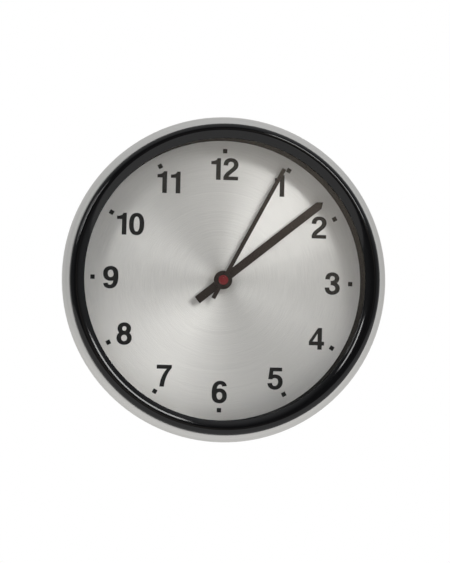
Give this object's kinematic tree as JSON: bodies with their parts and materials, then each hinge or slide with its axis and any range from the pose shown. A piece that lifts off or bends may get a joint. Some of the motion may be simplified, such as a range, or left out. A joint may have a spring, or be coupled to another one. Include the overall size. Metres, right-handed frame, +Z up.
{
  "type": "wall clock",
  "caption": "Round wall clock: satin spun case, black bezel, flat lens, brushed dial, hour, minute and seconds hands on a coupled battery movement, setting knob and keyhole hanger.",
  "frame": {"origin": "on the axis of the hands, in the wall plane that the flat back of the case and of the movement lies in", "axes": "-Y out of the wall towards the viewer, +Z up to 12 o'clock, +X to 3 o'clock"},
  "size_m": [0.3, 0.0543, 0.3],
  "materials": {
    "case_aluminium": "satin spun",
    "bezel_black": "glossy",
    "spacer_black": "semi-gloss",
    "lens_glass": "clear",
    "gasket_rubber": "matte",
    "dial_aluminium": "radially spun brushed",
    "dial_ink": "matte print",
    "fixing_brass": "machined",
    "screw_steel": "zinc plated",
    "hanger_steel": "zinc plated",
    "movement_plastic": "fine texture",
    "cover_plastic": "fine texture",
    "gear_plastic": "moulded",
    "rotor_magnet": "sintered",
    "knob_plastic": "moulded",
    "stator_steel": "rolled",
    "bobbin_plastic": "moulded",
    "coil_copper": "enamelled wire",
    "board_laminate": "solder mask",
    "chip_resin": "resin",
    "crystal_can": "plated",
    "contact_steel": "nickel plated",
    "battery_sleeve": "shrink sleeve",
    "hand_black": "satin black",
    "cap_red": "glossy"
  },
  "bodies": {
    "case": {"case_shell": "case_aluminium", "bezel": "bezel_black", "lens": "lens_glass", "lens_gasket": "gasket_rubber", "spacer_ring": "spacer_black", "dial_plate": "dial_aluminium", "dial_numerals": "dial_ink", "hour_squares": "dial_ink", "dial_feet": "fixing_brass", "dial_screws": "screw_steel", "hanger_plate": "hanger_steel", "hanger_rivets": "case_aluminium", "movement_rear_shell": "movement_plastic", "movement_front_shell": "cover_plastic", "threaded_bush": "fixing_brass", "rubber_washer": "gasket_rubber", "flat_washer": "fixing_brass", "hex_nut": "fixing_brass", "stator": "stator_steel", "coil_bobbin": "bobbin_plastic", "coil_winding": "coil_copper", "circuit_board": "board_laminate", "timer_chip": "chip_resin", "quartz_crystal": "crystal_can", "contact_positive": "contact_steel", "contact_negative": "contact_steel"},
    "seconds": {"seconds_wheel": "gear_plastic", "seconds_hand": "hand_black", "seconds_collar": "fixing_brass", "seconds_cap": "cap_red"},
    "minutes": {"centre_wheel": "gear_plastic", "minute_hand": "hand_black", "minute_disc": "hand_black"},
    "hours": {"hour_wheel": "gear_plastic", "hour_hand": "hand_black"},
    "rotor": {"rotor": "rotor_magnet"},
    "intermediate": {"intermediate_wheel": "gear_plastic"},
    "third": {"third_wheel": "gear_plastic"},
    "motion": {"minute_wheel": "gear_plastic"},
    "setting": {"setting_knob": "knob_plastic"},
    "battery": {"battery": "battery_sleeve"}
  },
  "joints": [
    {"name": "seconds_spin", "type": "hinge", "parent": "case", "child": "seconds", "pos_m": [0, -0.01, 0], "axis": [0, 1, 0], "continuous": true},
    {"name": "minutes_spin", "type": "hinge", "parent": "case", "child": "minutes", "pos_m": [0, -0.01, 0], "axis": [0, 1, 0], "continuous": true},
    {"name": "hours_spin", "type": "hinge", "parent": "case", "child": "hours", "pos_m": [0, -0.01, 0], "axis": [0, 1, 0], "continuous": true},
    {"name": "rotor_spin", "type": "hinge", "parent": "case", "child": "rotor", "pos_m": [-0.02045, -0.01, -0.00589], "axis": [0, 1, 0], "continuous": true},
    {"name": "intermediate_spin", "type": "hinge", "parent": "case", "child": "intermediate", "pos_m": [-0.01218, -0.01, -0.00443], "axis": [0, 1, 0], "continuous": true},
    {"name": "third_spin", "type": "hinge", "parent": "case", "child": "third", "pos_m": [-0.00865, -0.01, 0.00865], "axis": [0, 1, 0], "continuous": true},
    {"name": "motion_spin", "type": "hinge", "parent": "case", "child": "motion", "pos_m": [0.0094, -0.01, -0.00342], "axis": [0, 1, 0], "continuous": true},
    {"name": "setting_spin", "type": "hinge", "parent": "case", "child": "setting", "pos_m": [0.01926, -0.01, 0.00017], "axis": [0, 1, 0], "continuous": true},
    {"name": "battery_lift", "type": "slide", "parent": "case", "child": "battery", "axis": [0, 1, 0], "range_m": [0, 0.018]}
  ],
  "couplings": [
    {"joint": "minutes_spin", "follows": "seconds_spin", "ratio": 0.016667},
    {"joint": "hours_spin", "follows": "seconds_spin", "ratio": 0.0013889},
    {"joint": "rotor_spin", "follows": "seconds_spin", "ratio": 30},
    {"joint": "intermediate_spin", "follows": "seconds_spin", "ratio": -5},
    {"joint": "third_spin", "follows": "seconds_spin", "ratio": -0.13333},
    {"joint": "motion_spin", "follows": "seconds_spin", "ratio": -0.0055556},
    {"joint": "setting_spin", "follows": "seconds_spin", "ratio": 0.013889}
  ]
}
